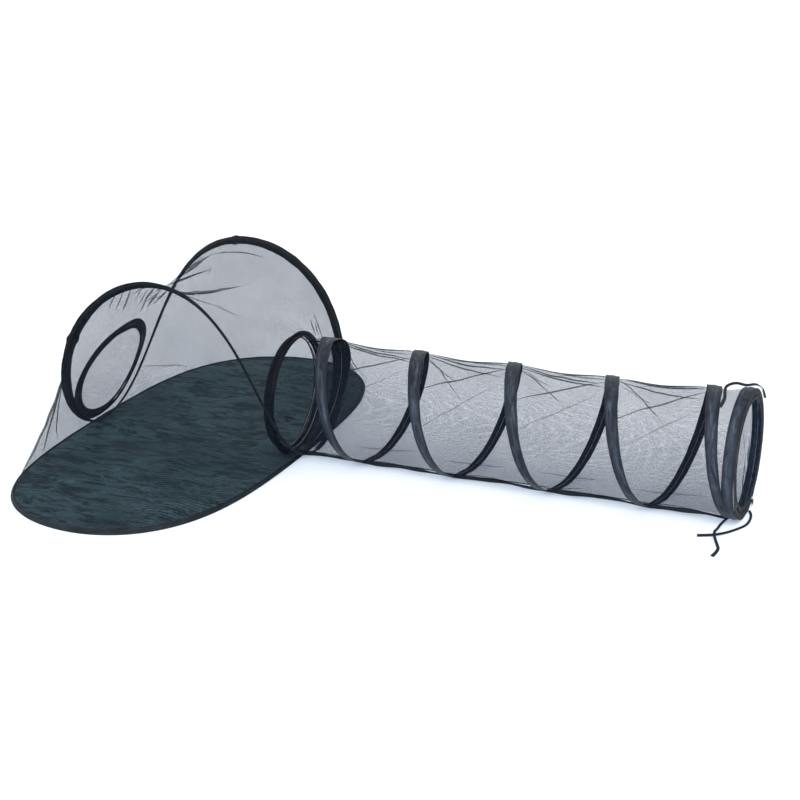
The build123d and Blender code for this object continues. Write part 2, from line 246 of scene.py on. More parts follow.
def tangents(p, closed=False):
    if closed:
        return unit(np.roll(p, -1, 0) - np.roll(p, 1, 0))
    return unit(np.gradient(p, axis=0))


TAPE_ACROSS = np.array([-1, -0.82, -0.5, -0.24, -0.1, 0.1, 0.24, 0.5, 0.82, 1])


# Added to v on a tape's inner side, so that a material can tell the two sides apart.
INNER_V = 0.1


def tape(b, points, across, width, bulge, edge=0.0005, core=0.0, closed=False, mats=(0, 0), inner_uv=INNER_V):
    """Sewn tape along a path: a flat band, wide in the direction of across, that swells over its wire."""
    t = tangents(points, closed)
    w = unit(across - t * (across * t).sum(1, keepdims=True))
    n = np.cross(t, w)
    width = np.broadcast_to(np.asarray(width, float), len(points))[:, None]
    core = np.broadcast_to(np.asarray(core, float), len(points))[:, None]
    a = TAPE_ACROSS[None, :]
    puff = edge + bulge * np.exp(-(((a - core) / 0.3) ** 2))
    half = a * width / 2
    along = path_uv(points, closed)
    middle = points[:, None] + w[:, None] * half[..., None]
    top = middle + n[:, None] * puff[..., None]
    bottom = middle - n[:, None] * puff[..., None]
    k = len(TAPE_ACROSS)
    ring = np.concatenate([top, bottom[:, ::-1]], 1)
    top_v = np.append(half, half[:1], 0) if closed else half
    v = np.concatenate([top_v, top_v[:, ::-1] + inner_uv, top_v[:, :1]], 1)
    uv = np.stack([np.broadcast_to(along[:, None], v.shape), v], -1)
    first = b.n
    start = len(b.which)
    b.grid(ring, uv, mats[0], (closed, True))
    for q in range(start, len(b.which)):
        if (q - start) % (2 * k) >= k:
            b.which[q] = mats[1]
    if not closed:
        b.cap(first, 2 * k, (0, 0), mats[0], flip=True)
        b.cap(first + (len(points) - 1) * 2 * k, 2 * k, (0, 0), mats[0])


def rod(b, points, radius, sides, closed=False, mat=0):
    """Round bar along a path, with its ends closed."""
    t = tangents(points, closed)
    n = np.zeros_like(t)
    seed = np.array([0.0, 0.0, 1.0]) if abs(t[0][2]) < 0.9 else np.array([1.0, 0.0, 0.0])
    n[0] = unit(seed - t[0] * (seed @ t[0]))
    for i in range(1, len(t)):
        n[i] = unit(n[i - 1] - t[i] * (n[i - 1] @ t[i]))
    c = np.cross(t, n)
    a = np.linspace(0, 2 * math.pi, sides, endpoint=False)
    radius = np.broadcast_to(np.asarray(radius, float), len(points))[:, None, None]
    spokes = n[:, None] * np.cos(a)[None, :, None] + c[:, None] * np.sin(a)[None, :, None]
    ring = points[:, None] + radius * spokes
    along = path_uv(points, closed)
    v = np.append(a, 2 * math.pi) * 0.003
    uv = uv_grid(along, v)
    first = b.n
    b.grid(ring, uv, mat, (closed, True))
    if not closed:
        b.cap(first, sides, (0, 0), mat, flip=True)
        b.cap(first + (len(points) - 1) * sides, sides, (0, 0), mat)


def piece(b, name, looks, body, slot, *nodes):
    """Makes a piece that rides a body and stands for some nodes."""
    o = b.make(name, looks)
    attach(o, body)
    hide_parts(*nodes)
    return o


# ---- materials
def times(colour, share):
    """The colour made darker or lighter, within white."""
    return tuple(min(1, c * share) for c in colour)


class Graph:
    """Small helper round one node material."""

    def __init__(self, name):
        self.mat = bpy.data.materials.new(name)
        self.mat.use_nodes = True
        self.nt = self.mat.node_tree
        self.bsdf = self.nt.nodes["Principled BSDF"]
        uv = self.nt.nodes.new("ShaderNodeUVMap")
        uv.uv_map = "UVMap"
        self.uv = uv.outputs[0]
        split = self.nt.nodes.new("ShaderNodeSeparateXYZ")
        self.nt.links.new(self.uv, split.inputs[0])
        self.u, self.v = split.outputs[0], split.outputs[1]

    def put(self, socket, value):
        if isinstance(value, bpy.types.NodeSocket):
            self.nt.links.new(value, socket)
        elif hasattr(value, "__len__") and len(value) == 3 and socket.type == "RGBA":
            socket.default_value = (*value, 1)
        else:
            socket.default_value = value

    def math(self, op, a, b=0.0, clamp=False):
        n = self.nt.nodes.new("ShaderNodeMath")
        n.operation, n.use_clamp = op, clamp
        self.put(n.inputs[0], a)
        self.put(n.inputs[1], b)
        return n.outputs[0]

    def span(self, value, low, high, out_low=0.0, out_high=1.0):
        n = self.nt.nodes.new("ShaderNodeMapRange")
        n.clamp = True
        for i, x in enumerate((value, low, high, out_low, out_high)):
            self.put(n.inputs[i], x)
        return n.outputs[0]

    def mix(self, share, a, b):
        n = self.nt.nodes.new("ShaderNodeMix")
        n.data_type = "RGBA"
        self.put(n.inputs[0], share)
        self.put(n.inputs[6], a)
        self.put(n.inputs[7], b)
        return n.outputs[2]

    def stretch(self, x, y):
        n = self.nt.nodes.new("ShaderNodeMapping")
        self.put(n.inputs[0], self.uv)
        n.inputs[3].default_value = (x, y, 1)
        return n.outputs[0]

    def noise(self, scale, detail=3.0, rough=0.55, vector=None, distortion=0.0):
        n = self.nt.nodes.new("ShaderNodeTexNoise")
        self.put(n.inputs["Vector"], vector or self.uv)
        n.inputs["Scale"].default_value = scale
        n.inputs["Detail"].default_value = detail
        n.inputs["Roughness"].default_value = rough
        n.inputs["Distortion"].default_value = distortion
        return n.outputs[0]

    def bump(self, height, strength, distance, under=None):
        n = self.nt.nodes.new("ShaderNodeBump")
        n.inputs["Strength"].default_value = strength
        n.inputs["Distance"].default_value = distance
        self.put(n.inputs["Height"], height)
        if under is not None:
            self.put(n.inputs["Normal"], under)
        return n.outputs[0]

    def line(self, value, period, share):
        """1 on a stripe that fills this share of each period, 0 elsewhere."""
        f = self.math("FRACT", self.math("DIVIDE", value, period))
        return self.math("LESS_THAN", f, share)

    def done(self, colour, roughness, normal=None, **plain):
        self.put(self.bsdf.inputs["Base Color"], colour)
        self.put(self.bsdf.inputs["Roughness"], roughness)
        if normal is not None:
            self.put(self.bsdf.inputs["Normal"], normal)
        for key, value in plain.items():
            self.put(self.bsdf.inputs[key.replace("_", " ")], value)
        return self.mat


# Share of a net's surface under its threads, and half the spread of its small clouds.
THREAD_SHARE = 0.34
CLOUD_SPREAD = 0.19


def net_material(name, cover, colour, period=0.0032, contrast=0.62):
    """Knitted netting: diamond threads with open holes between them, so light comes through."""
    g = Graph(name)
    diag_a = g.math("ADD", g.u, g.v)
    diag_b = g.math("SUBTRACT", g.u, g.v)
    share = 1 - math.sqrt(1 - THREAD_SHARE)
    thread = g.math("MAXIMUM", g.line(diag_a, period, share), g.line(diag_b, period, share))
    cloud = g.noise(230, 3, 0.75)
    broad = g.noise(6, 3, 0.55)
    solid = g.math("ADD", cover - contrast * THREAD_SHARE, g.math("MULTIPLY", thread, contrast))
    solid = g.math("ADD", solid, g.span(cloud, 0.3, 0.7, -CLOUD_SPREAD, CLOUD_SPREAD))
    solid = g.math("ADD", solid, g.span(broad, 0.3, 0.7, -0.030, 0.030), clamp=True)
    tone = g.mix(g.span(cloud, 0.35, 0.65), times(colour, 0.75), times(colour, 1.3))
    normal = g.bump(thread, 0.5, 0.0004)
    g.put(g.bsdf.inputs["Alpha"], solid)
    return g.done(tone, g.span(broad, 0.3, 0.7, 0.70, 0.84), normal, Specular_IOR_Level=0.04)


def satin_material(name, dark, light, rough, stitch, thread, twill=0.0011, inside=False, crumple=1.0,
                   lit=1.6, sides=0.0):
    """Woven tape: twill ribs, soft crumples with painted light on their raised parts and painted shade in
    their hollows, painted highlight streaks, painted shade towards the edges where asked, and lines of
    stitches.
    """
    g = Graph(name)
    v = g.math("SUBTRACT", g.v, INNER_V) if inside else g.v
    ribs = g.line(g.math("ADD", g.u, g.v), twill, 0.5)
    soft = g.noise(1.0, 5, 0.62, g.stretch(17, 62), 0.9)
    fine = g.noise(420, 2, 0.6)
    painted_highlight_streaks = g.noise(1.0, 5, 0.7, g.stretch(11, 60), 0.5)
    # Painted light and shade: the tone runs from dark in the crumples' hollows to light on their raised
    # parts, following the noise that also makes the crumple bump.
    tone = g.mix(g.span(soft, 0.40, 0.66), dark, light)
    # Painted highlight: lengthwise streaks lightened towards the light colour times lit; the same streaks
    # also set the roughness below.
    tone = g.mix(g.math("MULTIPLY", g.span(painted_highlight_streaks, 0.54, 0.70), 0.6), tone, times(light, lit))
    if sides:
        # Painted shade: the tape's colour darkens from its middle towards its edges, by the share given in
        # sides.
        painted_edge_shade = g.span(g.math("ABSOLUTE", v), 0.0055, 0.0135)
        tone = g.mix(g.math("MULTIPLY", painted_edge_shade, sides), tone, dark)
    tone = g.mix(g.math("MULTIPLY", ribs, 0.25), tone, times(dark, 0.55))
    height = g.math("ADD", g.math("MULTIPLY", ribs, 0.25), g.math("MULTIPLY", fine, 0.35))
    for place in stitch:
        off = g.math("ABSOLUTE", g.math("SUBTRACT", v, place))
        on = g.math("MULTIPLY", g.math("LESS_THAN", off, 0.00055), g.line(g.u, 0.0042, 0.72))
        tone = g.mix(on, tone, thread)
        height = g.math("ADD", height, on)
    normal = g.bump(soft, 0.75 * crumple, 0.007)
    normal = g.bump(height, 0.6, 0.0004, normal)
    shine = g.span(painted_highlight_streaks, 0.3, 0.7, rough - 0.06, rough + 0.1)
    return g.done(tone, shine, normal, Specular_IOR_Level=0.22)


def floor_material():
    """Coated cloth: crinkles across the tent with painted light on their raised parts, painted shade in their
    hollows and thin painted highlight lines, a plain weave, and paler painted highlights on small high spots.
    """
    g = Graph("floor_cloth")
    crinkle = g.noise(1.0, 5, 0.58, g.stretch(8, 23), 1.4)
    small = g.noise(1.0, 4, 0.66, g.stretch(30, 66), 1.2)
    broad = g.noise(2.8, 2, 0.5)
    weave = g.math("MULTIPLY", g.line(g.u, 0.0016, 0.5), g.line(g.v, 0.0016, 0.5))
    # Painted highlight: thin lighter lines where the crinkle noise crosses its middle level.
    painted_ridge_highlight = g.span(g.math("ABSOLUTE", g.math("SUBTRACT", crinkle, 0.53)), 0.0, 0.045, 1, 0)
    # Painted light and shade: the crinkles' raised parts are coloured lighter and their hollows darker,
    # following the crinkle bump.
    tone = g.mix(g.span(crinkle, 0.38, 0.62), (0.006, 0.020, 0.025), (0.048, 0.098, 0.120))
    tone = g.mix(g.math("MULTIPLY", painted_ridge_highlight, 0.50), tone, (0.110, 0.200, 0.235))
    # Painted highlight: paler patches on the small high spots of the fine crinkles, whose noise also sets the
    # bump and the roughness.
    tone = g.mix(g.math("MULTIPLY", g.span(small, 0.50, 0.66), 0.40), tone, (0.150, 0.265, 0.310))
    tone = g.mix(g.math("MULTIPLY", g.span(broad, 0.42, 0.62), 0.50), tone, (0.010, 0.031, 0.038))
    tone = g.mix(g.math("MULTIPLY", weave, 0.18), tone, (0.004, 0.010, 0.012))
    normal = g.bump(crinkle, 1.0, 0.016)
    normal = g.bump(small, 0.8, 0.0035, normal)
    normal = g.bump(weave, 0.3, 0.0002, normal)
    return g.done(tone, g.span(small, 0.3, 0.7, 0.50, 0.70), normal, Specular_IOR_Level=0.16)


def metal_material(name, colour, rough):
    """Plated metal with fine scratches and dull spots."""
    g = Graph(name)
    scratch = g.noise(1.0, 3, 0.6, g.stretch(900, 120))
    spots = g.noise(260, 4, 0.65)
    tone = g.mix(g.span(spots, 0.4, 0.7), colour, times(colour, 0.55))
    normal = g.bump(scratch, 0.3, 0.0002)
    return g.done(tone, g.span(scratch, 0.3, 0.7, rough - 0.08, rough + 0.15), normal, Metallic=0.9)


STAGE_GLOW, STAGE_GLOW_STRENGTH = (0.56, 0.74, 1.0), 0.39


def stage_material():
    g = Graph("stage")
    cloud = g.noise(0.4, 2, 0.5)
    tone = g.mix(g.span(cloud, 0.3, 0.7), (0.76, 0.765, 0.77), (0.775, 0.778, 0.78))
    return g.done(tone, 0.9, None, Specular_IOR_Level=0.0, Emission_Color=STAGE_GLOW,
                  Emission_Strength=STAGE_GLOW_STRENGTH)


NET = net_material("net", 0.370, (0.009, 0.014, 0.024))
NET_TENT = net_material("net_tent", 0.405, (0.008, 0.013, 0.021))
NET_FOLD = net_material("net_fold", 0.70, (0.006, 0.010, 0.018), contrast=0.4)
NET_DOOR = net_material("net_door", 0.46, (0.010, 0.020, 0.040))
# Outer face of the coil and exit tapes: lit=2.6 sets its painted highlight streaks, sides=0.75 its painted
# shade towards the edges.
SATIN = satin_material(
    "satin", (0.004, 0.008, 0.016), (0.035, 0.052, 0.073), 0.50, (-0.0115, 0.0115), (0.006, 0.009, 0.015),
    lit=2.6, sides=0.75)
# Inner face of the tapes: its colours, far darker than the outer face's, are painted shade of the tunnel's
# inside; its duller roughness and pale middle stitch are the back's own.
SATIN_BACK_SHADED = satin_material(
    "satin_back_shaded", (0.0015, 0.002, 0.004), (0.004, 0.006, 0.010), 0.70, (0.0015,), (0.50, 0.54, 0.60),
    inside=True, crumple=0.6)
SLEEVE = satin_material(
    "sleeve", (0.002, 0.003, 0.006), (0.006, 0.009, 0.015), 0.68, (-0.0085, 0.0085), (0.014, 0.019, 0.028))
BINDING = satin_material(
    "binding", (0.004, 0.007, 0.011), (0.013, 0.020, 0.028), 0.62, (0.0035,), (0.025, 0.032, 0.042),
    crumple=0.7)
ZIP_TAPE = satin_material(
    "zip_tape", (0.002, 0.003, 0.006), (0.006, 0.009, 0.014), 0.68, (-0.004, 0.004), (0.014, 0.019, 0.028))
RIBBON = satin_material(
    "ribbon", (0.003, 0.005, 0.009), (0.012, 0.017, 0.026), 0.58, (), (0, 0, 0), twill=0.0009)
FLOOR_CLOTH = floor_material()
METAL = metal_material("zip_metal", (0.62, 0.62, 0.63), 0.32)
DARK_METAL = metal_material("dark_metal", (0.06, 0.06, 0.065), 0.4)
TEETH = metal_material("zip_teeth", (0.035, 0.038, 0.045), 0.45)

# ---- ribbon ties
REST = 0.0028
TIES = {
    "top_tie_ribbon": ("top_tie", 0.3135, "hanging", [
        (1.604, 0.150, 0.284), (1.605, 0.118, 0.315), (1.604, 0.082, 0.339), (1.597, 0.044, 0.357),
        (1.579, 0.016, 0.3585), (1.554, 0.008, 0.367), (1.531, -0.004, 0.359), (1.534, -0.034, 0.354),
        (1.544, -0.066, 0.346), (1.538, -0.095, 0.331),
    ]),
    "long_tie_ribbon": ("long_tie", 0.264, "loose", [
        (1.604, 0.034, REST), (1.615, 0.014, REST), (1.621, -0.024, REST), (1.620, -0.066, REST),
        (1.603, -0.100, REST), (1.585, -0.130, REST), (1.568, -0.155, 0.0055), (1.548, -0.171, 0.0055),
        (1.516, -0.179, REST),
    ]),
    "short_tie_ribbon": ("short_tie", 0.277, "loose", [
        (1.566, -0.024, REST), (1.559, -0.054, REST), (1.555, -0.090, REST), (1.556, -0.126, 0.0050),
        (1.556, -0.156, 0.0126), (1.562, -0.184, 0.0106), (1.577, -0.214, REST), (1.591, -0.250, REST),
        (1.583, -0.292, REST),
    ]),
}


def nurbs_route(name, points):
    """The smooth line of a cord: a NURBS spline with the route's points as its control points."""
    curve = bpy.data.curves.new(name, "CURVE")
    curve.dimensions = "3D"
    curve.resolution_u = 12
    spline = curve.splines.new("NURBS")
    spline.points.add(len(points) - 1)
    for p, q in zip(spline.points, points):
        p.co = (*q, 1)
    spline.order_u = 3
    spline.use_endpoint_u = True
    o = placed(name, curve)
    line = bpy.data.meshes.new_from_object(o)
    found = np.array([v.co for v in line.vertices], float)
    bpy.data.objects.remove(o)
    return found


def ribbon_tie(name, node, lay, points):
    """Flat woven ribbon that follows its route, lying flat where it rests and turning a little on the way."""
    line = nurbs_route(name + "_route", points)
    t = tangents(line)
    up = np.array([0.0, 0.0, 1.0])
    along = path_uv(line)
    turn = 0.42 + 0.10 * np.sin(along * 38 + len(name))
    if lay != "loose":
        turn = 1.15 + 0.35 * np.sin(along * 30 + 2)
    face = up * np.cos(turn)[:, None] + np.array([0.3, -0.954, 0]) * np.sin(turn)[:, None]
    side = unit(np.cross(face, t))
    b = Build()
    tape(b, line, side, 0.0068 + 0.0030 * (along / along[-1]) ** 3, 0.0003, edge=0.0005, inner_uv=0.02)
    o = piece(b, name, [RIBBON], "exit_end", "ribbon", node)


for tie_name, (node, length, lay, points) in TIES.items():
    ribbon_tie(tie_name, node, lay, points)


# ---- placing helpers
def fold_blend(o):
    """Bakes a soft piece's placement into its mesh."""
    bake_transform(o)


def collapse(o):
    """Gives a tunnel piece its own copy of its mesh."""
    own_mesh(o)


SIDES = ((-1, "near"), (1, "far"))

# ---- tent floor
ROWS_MIDDLE = math.degrees(math.acos(-FLOOR_CENTRE_Y / FLOOR_HALF_LENGTH))


FLOOR_INSET = 0.0045


def floor_cloth(side, name):
    lo, hi = (ROWS_MIDDLE, 179.3) if side < 0 else (0.7, ROWS_MIDDLE)
    turn = np.linspace(0, 1, 230)
    a = lo + (hi - lo) * turn
    front, y = floor_edge(a)
    back, _ = floor_edge(360 - a)
    s = np.linspace(0, 1, 180)[None, :]
    x = (back[:, None] + FLOOR_INSET) * (1 - s) + (front[:, None] - FLOOR_INSET) * s
    reach = FLOOR_HALF_LENGTH - FLOOR_INSET
    y = np.where(np.abs(y - FLOOR_CENTRE_Y) > reach, FLOOR_CENTRE_Y + np.sign(y) * reach, y)
    pts = np.stack([x, np.broadcast_to(y[:, None], x.shape), np.zeros_like(x)], -1)
    long_wrinkle = waves(pts, 3, 0.050, 18, (0.35, 1.3, 0))
    tight = waves(pts, 4, 0.026, 20, (0.7, 1.2, 0))
    puff = waves(pts, 5, 0.16, 8, (0.7, 1, 0))
    patch = np.clip(0.55 + 0.6 * waves(pts, 6, 0.11, 10, (0.8, 1, 0)), 0.1, 1.4)
    rim = np.minimum(np.minimum(s, 1 - s) * (front - back)[:, None] / 0.05, 1)
    crinkle = 0.0040 * np.abs(long_wrinkle) + 0.0010 * np.abs(tight)
    height = 0.0042 + rim * patch * crinkle + rim * 0.0016 * puff
    pts[..., 2] = np.maximum(height, 0.0022)
    uv = pts[..., :2].copy()
    b = Build().grid(pts, uv)
    o = b.make(f"floor_cloth_{name}", [FLOOR_CLOTH])
    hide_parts(f"{name}_floor", "middle_floor")
    fold_blend(o)


def floor_binding(side, name):
    lo, hi = (ROWS_MIDDLE, 360 - ROWS_MIDDLE) if side < 0 else (-ROWS_MIDDLE, ROWS_MIDDLE)
    a = np.linspace(lo, hi, 340)
    x, y = floor_edge(a % 360)
    pts = np.stack([x, y, np.full_like(x, 0.0036)], -1)
    lump = waves(pts, 8, 0.05)
    proud = np.sin(np.pi * np.clip((a - 88) / 140, 0, 1)) if side < 0 else 0 * a
    pts[:, 2] += 0.0005 + 0.0005 * lump + 0.0036 * proud
    t = tangents(pts)
    out = unit(np.cross(t, np.array([0.0, 0, 1.0])))
    across = out + np.array([0, 0, 1.0]) * (0.35 + 0.9 * proud)[:, None]
    b = Build()
    tape(b, pts, across, 0.0092 + 0.0008 * lump + 0.0070 * proud, 0.0024, edge=0.0007, core=0.25)
    o = b.make(f"floor_binding_{name}", [BINDING])
    nodes = [f"{name}_binding", f"{name}_hoop_wire"]
    nodes += ["floor_hoop_ferrule"] if side < 0 else []
    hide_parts("middle_binding", "middle_hoop_wire", *nodes)
    fold_blend(o)


# ---- arches
ARCH_MIDDLE = np.array([0.0, 0.0, 0.12])

# Share of a sleeve's full width round each arch, and where its two ends lap.
SLEEVE_TURN = (0, 14, 30, 60, 90, 120, 150, 166, 180)
SLEEVE_SHARE = {
    -1: (0.28, 0.30, 0.42, 0.75, 0.95, 1.12, 1.08, 0.80, 0.45),
    1: (0.45, 0.75, 0.92, 0.98, 1.0, 0.72, 0.42, 0.36, 0.32),
}
SLEEVE_LAP = {-1: 128, 1: 95}


def arch_sleeve(side, name):
    a = np.linspace(0.3, 179.7, 260)
    pts = loop_point(a, side)
    lump = waves(pts, 20 + side, 0.06)
    width = (0.0250 + 0.0018 * lump) * np.interp(a, SLEEVE_TURN, SLEEVE_SHARE[side])
    width = width + 0.0075 * np.exp(-(((a - SLEEVE_LAP[side]) / 1.0) ** 2))
    out = pts - ARCH_MIDDLE
    b = Build()
    tape(b, pts, out, width, 0.0026, edge=0.0008, core=0.2)
    o = b.make(f"arch_sleeve_{name}", [SLEEVE])
    nodes = [f"{name}_{part}" for part in ("bow_sleeve", "bow_wire", "leg_sleeve", "leg_wire")]
    nodes += ["loop_ferrule"] if side > 0 else []
    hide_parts(*nodes)
    fold_blend(o)


def end_surface(a, s, side):
    """Net from an arch (s 0) down to the floor's rim (s 1), drawn in a little between them."""
    top = loop_point(a, side)
    rx, ry = floor_edge((90 - side * a) % 360)
    rim = np.stack([rx, ry, np.full_like(rx, 0.0045)], -1)
    s = s[..., None]
    p = top * (1 - s) + rim * s
    length = np.linalg.norm(rim - top, axis=-1)[..., None]
    inward = unit(np.array([0, side * 0.15, 0.10]) - p)
    return p + inward * length * 0.040 * 4 * s * (1 - s)


def end_net(side, name):
    a, s = np.meshgrid(np.linspace(2, 178, 150), np.linspace(0, 1, 60), indexing="ij")
    pts = end_surface(a, s, side)
    free = np.sin(np.pi * s) ** 0.8
    pts[..., 0] += 0.0022 * free * waves(pts, 30 + side, 0.10)
    pts[..., 1] += 0.0028 * free * waves(pts, 33 + side, 0.12)
    pts[..., 2] = np.maximum(pts[..., 2], 0.0035)
    b = Build().grid(pts, np.stack([laid(pts, 0), laid(pts, 1)], -1))
    for (a0, s0), (a1, s1), tall, wide, dark in END_FOLDS[side]:
        fold_line(b, lambda k: end_surface(a0 + (a1 - a0) * k, s0 + (s1 - s0) * k, side), tall, wide, dark)
    o = b.make(f"end_net_{name}", [NET_TENT, NET_FOLD])
    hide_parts(f"{name}_end_panel", f"{name}_corner_panels")
    fold_blend(o)


def fold_line(b, at, tall, width, dark, middle=(0, 0, 0.12), count=40):
    """Fold of doubled net along a line, raised towards a middle; at gives the line's points for 0 to 1."""
    k = np.linspace(0, 1, count)
    p = at(k)
    wander = waves(p, 60 + b.n % 97, 0.07, 7)
    swell = 1 + 0.45 * waves(p, 61 + b.n % 89, 0.05, 7)
    t = tangents(p)
    rise = np.array(middle, float) - p
    if middle is TUNNEL_MIDDLE:
        rise[:, 0] = 0
    up = unit(rise - t * (rise * t).sum(1, keepdims=True))
    side = np.cross(t, up)
    fade = np.sin(np.pi * np.clip(k, 0.015, 0.985)) ** 0.7
    p = p + side * (0.0028 * wander * fade)[:, None]
    rows = []
    for place, high in ((-1, 0.06), (-0.45, 0.55), (0.1, 1.0), (0.5, 0.5), (1, 0.06)):
        aside, raised = place * width / 2 * fade * swell, high * tall * fade
        rows.append(p + side * aside[:, None] + up * raised[:, None])
    pts = np.stack(rows, 1)
    pts[..., 2] = np.maximum(pts[..., 2], 0.0012)
    u = path_uv(p)
    b.grid(pts, uv_grid(u, np.linspace(0, width * 1.3, 5)), 1 if dark else 0)


TUNNEL_MIDDLE = (0, 0, AXIS_Z)

# Folds: where each starts and ends (arch angle, share of the way down), height, width and if it is dark.
END_FOLDS = {
    -1: [((94, 0.010), (95.5, 0.060), 0.002, 0.003, True), ((91.5, 0.01), (94.0, 0.080), 0.002, 0.003, True),
         ((89, 0.010), (93, 0.075), 0.002, 0.004, False), ((86.5, 0.012), (91.5, 0.070), 0.002, 0.004, False),
         ((97, 0.010), (97.5, 0.055), 0.002, 0.003, False), ((84, 0.010), (90, 0.055), 0.002, 0.004, False),
         ((85.5, 0.32), (67, 0.225), 0.003, 0.004, False), ((133, 0.03), (153, 0.92), 0.004, 0.007, True),
         ((127, 0.02), (140, 0.96), 0.005, 0.012, True), ((136, 0.05), (158, 0.70), 0.003, 0.006, True),
         ((101, 0.006), (102.5, 0.085), 0.002, 0.006, True), ((98, 0.006), (99.5, 0.095), 0.002, 0.007, True),
         ((89.5, 0.006), (92.5, 0.10), 0.002, 0.007, True), ((87, 0.006), (90.5, 0.09), 0.002, 0.006, True),
         ((84.5, 0.006), (88.5, 0.07), 0.002, 0.006, True), ((104, 0.006), (106, 0.07), 0.002, 0.005, True),
         ((126, 0.02), (147, 0.60), 0.003, 0.004, False)],
    1: [((72, 0.52), (76, 0.68), 0.003, 0.003, True), ((70, 0.50), (73, 0.62), 0.003, 0.003, False)],
}


# ---- canopy
def canopy_surface(a, s):
    """Net between the two arches: s 0 at the near one, 1 at the far one, hollow along the middle."""
    near, far = loop_point(a, -1), loop_point(a, 1)
    s3 = s[..., None]
    p = near * (1 - s3) + far * s3
    t = np.radians(a)
    hollow = 0.062 * np.sin(t) ** 4 * 4 * s * (1 - s)
    inward = unit(np.stack([-np.cos(t) * 0.5, np.zeros_like(t), -np.sin(t) - 0.15], -1))
    return p + inward * hollow[..., None]


# The back door is drawn out of round: direction in its plane, 0 at the bottom, and its share of the radius.
BACK_OUTLINE = (
    (-180, -150, -115, -91, -65, -42, -25, 4, 37, 69, 90, 102, 111, 123, 144, 165, 180),
    (0.965, 1.03, 1.07, 1.00, 1.02, 1.03, 1.04, 0.97, 1.00, 1.14, 1.28, 1.31, 1.29, 1.22, 1.08, 0.98, 0.965),
)


def in_plane(pts, centre, ex, ey, ez):
    """Points in an opening's plane: along its two directions, off the plane, and from its middle."""
    rel = pts - np.array(centre)
    a, c, h = rel @ np.array(ex), rel @ np.array(ey), rel @ np.array(ez)
    return a, c, h, np.hypot(a, c)


def stretch_of(outline, x, y):
    """Share of the radius that an outline has towards a point of its plane, smoothed a little."""
    way = np.degrees(np.arctan2(x, -y))
    near = [np.interp((way + d + 180) % 360 - 180, *outline) for d in (-9, -3, 3, 9)]
    return sum(near) / len(near)


# How far off an opening's plane the net still belongs to it.
OPENING_DEPTH = 0.12


def pull_to_ring(pts, centre, ex, ey, ez, radius, reach, outline=None):
    """Draws the net within reach of a round opening towards its plane."""
    a, c, h, r = in_plane(pts, centre, ex, ey, ez)
    if outline is not None:
        radius = radius * stretch_of(outline, a, c)
    inside = (np.abs(h) < OPENING_DEPTH) & (r < radius + reach)
    near_leg = np.minimum(*[
        np.min(np.linalg.norm(pts[:, :, None] - legs, axis=-1), -1) for legs in LEG_POINTS.values()])
    gap = np.maximum(r - radius, 0)
    weight = np.clip(near_leg / (near_leg + gap + 1e-6), 0, 1) ** 1.5 * np.clip(1 - gap / reach, 0, 1) ** 1.5
    weight = np.where(inside, weight, 0)
    return pts - (h * weight)[..., None] * np.array(ez)


def open_hole(pts, keep, centre, ex, ey, ez, radius, outline=None):
    """Cuts a round hole in a grid: faces inside go, and the vertices at the cut move onto the circle."""
    a, c, h, r = in_plane(pts, centre, ex, ey, ez)
    if outline is not None:
        radius = radius * stretch_of(outline, a, c)
    inner = (r < radius) & (np.abs(h) < OPENING_DEPTH)
    quad = inner[:-1, :-1] & inner[1:, :-1] & inner[1:, 1:] & inner[:-1, 1:]
    keep &= ~quad
    used = np.zeros(inner.shape, bool)
    rows, cols = keep.shape
    for di, dj in ((0, 0), (1, 0), (0, 1), (1, 1)):
        used[di:rows + di, dj:cols + dj] |= keep
    snap = inner & used
    scale = np.where(snap, radius / np.maximum(r, 1e-6), 1)
    on_ring = centre + (a * scale)[..., None] * np.array(ex) + (c * scale)[..., None] * np.array(ey)
    pts[snap] = on_ring[snap]
    return pts, keep


LEG_POINTS = {side: loop_point(np.linspace(0, 180, 90), side) for side in (-1, 1)}
PORT = ((0.288, 0, PORT_Z), (0, 1, 0), (0, 0, 1), (1, 0, 0))
CT, ST = math.cos(BACK_DOOR_TILT), math.sin(BACK_DOOR_TILT)
BACK = (tuple(BACK_DOOR_CENTRE), (0, -1, 0), (ST, 0, CT), (-CT, 0, ST))
BACK_HOLE_R = 0.151

CANOPY_FOLDS = {
    -1: [((84, 0.0), (78.0, 0.590), 0.009, 0.0130, True, 3.2), ((82, 0.02), (74, 0.20), 0.004, 0.005, False),
         ((75, 0.18), (66.5, 0.31), 0.003, 0.004, False), ((87, 0.02), (97, 0.20), 0.004, 0.006, False),
         ((92, 0.02), (105, 0.16), 0.004, 0.006, False)],
    1: [((108, 0.58), (95, 0.70), 0.005, 0.008, True), ((110.5, 0.70), (103, 0.85), 0.005, 0.007, True),
        ((111.5, 0.80), (101, 0.895), 0.005, 0.007, True), ((101.5, 0.89), (78.5, 0.91), 0.003, 0.003, True),
        ((112, 0.74), (106, 0.80), 0.004, 0.010, False), ((113, 0.86), (105, 0.90), 0.004, 0.010, False),
        ((107, 0.55), (99, 0.62), 0.004, 0.008, False), ((92, 0.62), (96.5, 0.745), 0.003, 0.004, False),
        ((53, 0.805), (47.5, 0.79), 0.003, 0.004, True), ((55, 0.86), (44, 0.84), 0.003, 0.003, False)],
}


